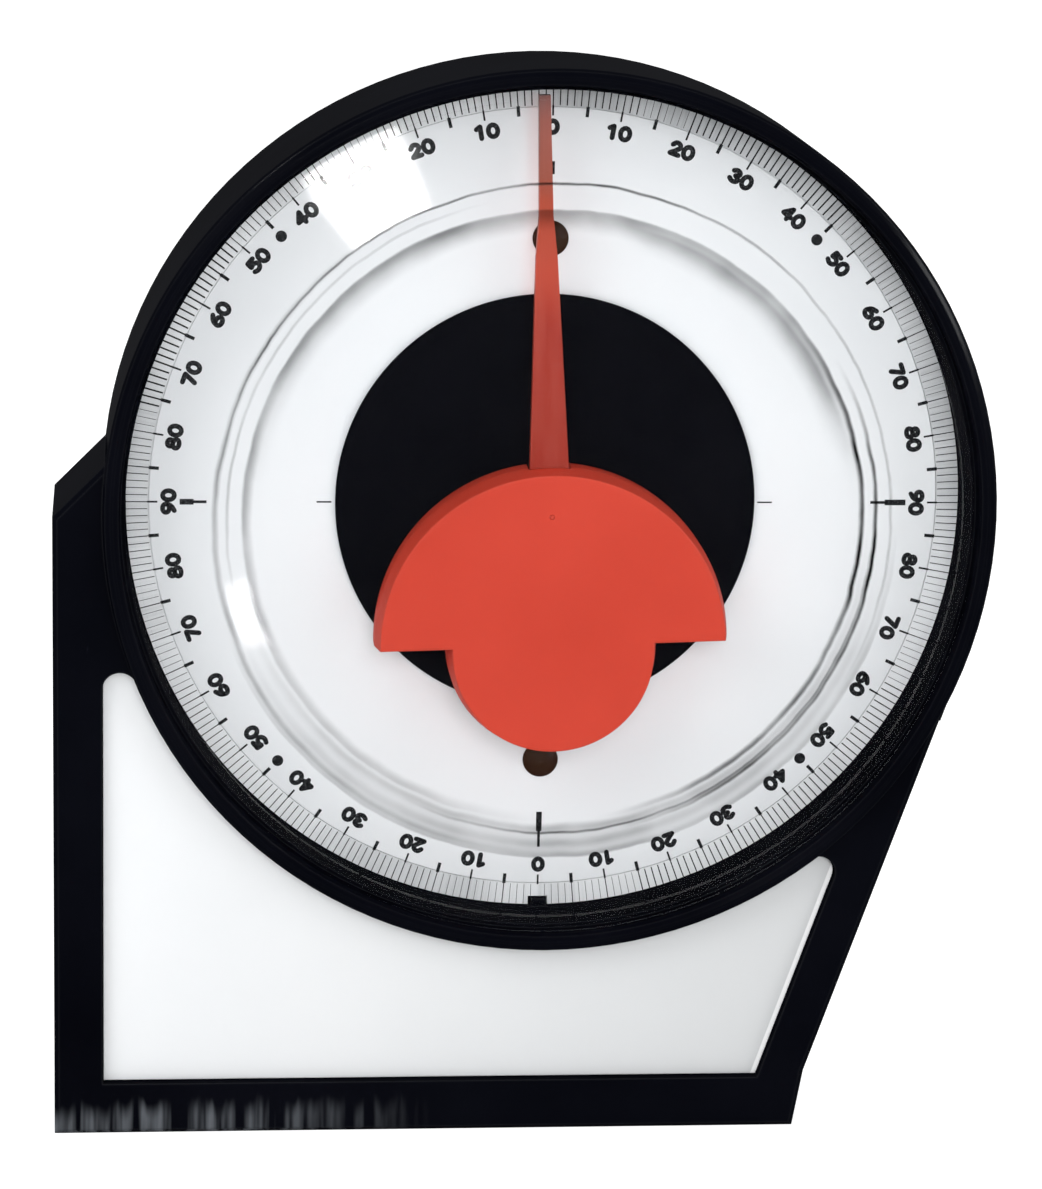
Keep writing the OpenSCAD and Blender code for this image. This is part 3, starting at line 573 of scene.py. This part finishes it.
def pointerMaterial(name, look):
    material, tree = blankMaterial(name)
    first, last = look["tonesWithPaintedShade"][0][0], look["tonesWithPaintedShade"][-1][0]
    # the ramp paints the shade along the pointer
    ramp = addNode(tree, "ShaderNodeValToRGB", {0: spread(tree, dialRadius(tree), first, last, 0.0, 1.0)})
    stops = ramp.color_ramp.elements
    for reach, _ in look["tonesWithPaintedShade"][1:-1]:
        stops.new((reach - first) / (last - first))
    for stop, (_, tone) in zip(stops, look["tonesWithPaintedShade"]):
        stop.color = (*tone, 1)
    flow = noise(tree, dialCoordinates(tree, (1, 1, look["flowStretch"])), look["flowScale"], 3.0)
    flowing = spread(tree, flow, *look["flowRange"], 0.0, look["flowShare"])
    colour = mixColours(tree, flowing, ramp.outputs[0], look["flowColour"])
    bump = addNode(tree, "ShaderNodeBump", {
        "Strength": look["flowStrength"], "Distance": look["flowDepth"], "Height": flow})
    shader = addNode(tree, "ShaderNodeBsdfPrincipled", {
        "Base Color": colour, "Roughness": spread(tree, flow, *look["roughRange"], *look["rough"]),
        "Normal": bump.outputs[0], "Specular IOR Level": look["specular"]})
    glow = addNode(tree, "ShaderNodeBsdfTransparent", {"Color": (*look["shadowTint"], 1)})
    path = addNode(tree, "ShaderNodeLightPath").outputs["Is Shadow Ray"]
    mix = addNode(tree, "ShaderNodeMixShader", {0: path, 1: shader.outputs[0], 2: glow.outputs[0]})
    addNode(tree, "ShaderNodeOutputMaterial", {"Surface": mix.outputs[0]})
    return material


def makeNib(look, material):
    bm = bmesh.new()
    front = (dialCentre.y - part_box("weight_cover")[0].y) / mm
    radius = look["radius"] * mm
    place = dialPlace(0, look["drop"], front + look["height"] / 2)
    bmesh.ops.create_cone(bm, cap_ends=True, segments=24, radius1=radius, radius2=look["taper"] * radius,
                          depth=look["height"] * mm, matrix=place)
    finishMesh("gate_mark", bm, material, "pendulum")


metalLooks = {
    "pivot_axle": {
        "dark": (0.5, 0.51, 0.53), "light": (0.68, 0.69, 0.7), "metallic": 1.0,
        "roughLow": 0.12, "roughHigh": 0.22, "cloudScale": 500.0, "grainScale": 5000.0,
        "grainStrength": 0.1, "grainDepth": 0.00002},
    "retaining_clip": {
        "dark": (0.16, 0.16, 0.17), "light": (0.26, 0.26, 0.27), "metallic": 1.0,
        "roughLow": 0.3, "roughHigh": 0.42, "cloudScale": 500.0, "grainScale": 5000.0,
        "grainStrength": 0.2, "grainDepth": 0.00003},
    "weight_slug": {
        "dark": (0.1, 0.1, 0.105), "light": (0.2, 0.2, 0.21), "metallic": 0.8,
        "roughLow": 0.5, "roughHigh": 0.7, "cloudScale": 200.0, "grainScale": 1500.0,
        "grainStrength": 0.7, "grainDepth": 0.0002},
    "front_bush": {
        "dark": (0.42, 0.28, 0.1), "light": (0.6, 0.42, 0.17), "metallic": 1.0,
        "roughLow": 0.2, "roughHigh": 0.35, "cloudScale": 300.0, "grainScale": 4000.0,
        "grainStrength": 0.2, "grainDepth": 0.00003},
    "rear_bush": {
        "dark": (0.4, 0.27, 0.1), "light": (0.56, 0.39, 0.16), "metallic": 1.0,
        "roughLow": 0.22, "roughHigh": 0.38, "cloudScale": 300.0, "grainScale": 4000.0,
        "grainStrength": 0.2, "grainDepth": 0.00003},
    "base_keeper": {
        "dark": (0.24, 0.25, 0.26), "light": (0.36, 0.37, 0.38), "metallic": 1.0,
        "roughLow": 0.35, "roughHigh": 0.5, "cloudScale": 150.0, "grainScale": 3000.0,
        "grainStrength": 0.3, "grainDepth": 0.00004},
    "base_magnets": {
        "dark": (0.045, 0.045, 0.05), "light": (0.085, 0.085, 0.09), "metallic": 0.3,
        "roughLow": 0.5, "roughHigh": 0.7, "cloudScale": 250.0, "grainScale": 2600.0,
        "grainStrength": 0.5, "grainDepth": 0.0001},
    "thrust_washer": {
        "dark": (0.66, 0.64, 0.57), "light": (0.76, 0.74, 0.68), "specular": 0.3,
        "roughLow": 0.4, "roughHigh": 0.55, "cloudScale": 500.0, "grainScale": 4000.0, "grainStrength": 0.2,
        "grainDepth": 0.00003},
}
weightMaterial = mouldedMaterial("redWeight", weightLook)
dress("weight_cover", weightMaterial)
dress("pendulum_pointer", pointerMaterial("redPointer", pointerLook))
for node, look in metalLooks.items():
    dress(node, mouldedMaterial(node + "Finish", look))
makeNib(nibLook, weightMaterial)
print("pendulum dressed")

studio = {
    "floorReach": 3.0, "floorColours": ((0.9, 0.9, 0.9), (0.891, 0.891, 0.891)), "paperScale": 4.0,
    "floorGlow": 0.8, "floorTakes": 0.55, "worldTint": (0.97, 0.985, 1.0), "worldLight": 0.5,
    "lamps": (
        {"name": "frontSoftbox", "at": (0.05, -1.1, 0.36), "size": (0.5, 0.5), "watts": 4.6,
         "gloss": False},
        {"name": "leftSoftbox", "at": (-0.75, -0.75, 0.75), "size": (0.7, 0.7), "watts": 4.2},
        {"name": "rightSoftbox", "at": (0.8, -0.65, 0.45), "size": (0.6, 0.8), "watts": 2.0},
        {"name": "topSoftbox", "at": (0.0, 0.1, 1.0), "size": (0.9, 0.5), "watts": 2.6},
        {"name": "windowGlint", "at": (-0.142, -0.9, 0.302), "size": (0.125, 0.1), "watts": 12.0,
         "shape": "ELLIPSE", "tilt": 29.0, "matt": False},
        {"name": "sideGlint", "at": (0.75, -0.6, 0.3), "size": (0.08, 0.7), "watts": 18.0, "matt": False},
        {"name": "rimGlint", "at": (-0.5, 0.25, 0.66), "size": (0.3, 0.12), "watts": 11.0, "matt": False},
    ),
}
# angles in degrees, distances, lens and sensor in millimetres, aim measured from the dial centre
shot = {
    "turn": -5.344, "rise": 12.278, "roll": 1.087, "away": 477.2, "aim": (-2.459, -10.3),
    "lens": 132.127, "sensor": 36.0, "clip": (20.0, 20000.0),
}


def makeFloor(look):
    # pale floor: white to the eye, to metal and to glass, and it still takes shadows
    material, tree = blankMaterial("paleFloor")
    place = addNode(tree, "ShaderNodeTexCoord").outputs["Object"]
    path = addNode(tree, "ShaderNodeLightPath").outputs
    seen = reckon(tree, "MAXIMUM", path["Is Camera Ray"], path["Is Glossy Ray"])
    seen = reckon(tree, "MAXIMUM", seen, path["Is Transmission Ray"])
    paper = mixColours(tree, noise(tree, place, look["paperScale"]), *look["floorColours"])
    paint = addNode(tree, "ShaderNodeBsdfDiffuse", {"Color": paper})
    glow = addNode(tree, "ShaderNodeEmission", {"Color": (1, 1, 1, 1), "Strength": look["floorGlow"]})
    takes = addNode(tree, "ShaderNodeBsdfDiffuse", {"Color": (look["floorTakes"],) * 3 + (1,)})
    white = addNode(tree, "ShaderNodeAddShader", {0: glow.outputs[0], 1: takes.outputs[0]})
    lit = addNode(tree, "ShaderNodeMixShader", {0: seen, 1: paint.outputs[0], 2: white.outputs[0]})
    addNode(tree, "ShaderNodeOutputMaterial", {"Surface": lit.outputs[0]})
    bm = bmesh.new()
    bmesh.ops.create_grid(bm, x_segments=1, y_segments=1, size=look["floorReach"])
    mesh = bpy.data.meshes.new("studio_floor")
    bm.to_mesh(mesh)
    bm.free()
    mesh.materials.append(material)
    floor = bpy.data.objects.new("studio_floor", mesh)
    bpy.context.scene.collection.objects.link(floor)


def makeWorld(look):
    world = bpy.data.worlds.new("paleStudio")
    world.use_nodes = True
    tree = world.node_tree
    tree.nodes.clear()
    path = addNode(tree, "ShaderNodeLightPath").outputs
    seen = reckon(tree, "MAXIMUM", path["Is Camera Ray"], path["Is Glossy Ray"])
    seen = reckon(tree, "MAXIMUM", seen, path["Is Transmission Ray"])
    level = addNode(tree, "ShaderNodeMix", {0: seen, 2: look["worldLight"], 3: 1.0}).outputs[0]
    tone = mixColours(tree, seen, look["worldTint"], (1.0, 1.0, 1.0))
    glow = addNode(tree, "ShaderNodeBackground", {"Color": tone, "Strength": level})
    addNode(tree, "ShaderNodeOutputWorld", {"Surface": glow.outputs[0]})
    bpy.context.scene.world = world


def makeLamp(lamp, target):
    data = bpy.data.lights.new(lamp["name"], "AREA")
    data.shape, data.energy = lamp.get("shape", "RECTANGLE"), lamp["watts"]
    data.size, data.size_y = lamp["size"]
    piece = bpy.data.objects.new(lamp["name"], data)
    piece.location = lamp["at"]
    facing = (target - Vector(lamp["at"])).to_track_quat("-Z", "Y").to_matrix()
    tilt = Matrix.Rotation(math.radians(lamp.get("tilt", 0.0)), 3, "Z")
    piece.rotation_euler = (facing @ tilt).to_euler()
    piece.visible_diffuse, piece.visible_glossy = lamp.get("matt", True), lamp.get("gloss", True)
    bpy.context.scene.collection.objects.link(piece)


def makeCamera(look):
    turn, rise, roll = (math.radians(look[k]) for k in ("turn", "rise", "roll"))
    back = Vector((math.sin(turn) * math.cos(rise), -math.cos(turn) * math.cos(rise), math.sin(rise)))
    across = (-back).cross(Vector((0, 0, 1))).normalized()
    up = across.cross(-back)
    level, steep = math.cos(roll), math.sin(roll)
    across, up = across * level + up * steep, up * level - across * steep
    data = bpy.data.cameras.new("photoCamera")
    data.sensor_fit, data.sensor_height, data.lens = "VERTICAL", look["sensor"], look["lens"]
    data.clip_start, data.clip_end = (distance * mm for distance in look["clip"])
    camera = bpy.data.objects.new("photoCamera", data)
    turned = Matrix((across, up, back)).transposed().to_4x4()
    aim = dialCentre + Vector((look["aim"][0] * mm, 0, look["aim"][1] * mm))
    camera.matrix_world = Matrix.Translation(aim + back * look["away"] * mm) @ turned
    bpy.context.scene.collection.objects.link(camera)
    bpy.context.scene.camera = camera


makeFloor(studio)
makeWorld(studio)
for lamp in studio["lamps"]:
    makeLamp(lamp, dialCentre)
makeCamera(shot)
bpy.context.scene.view_settings.view_transform = "Standard"
print("studio lit")
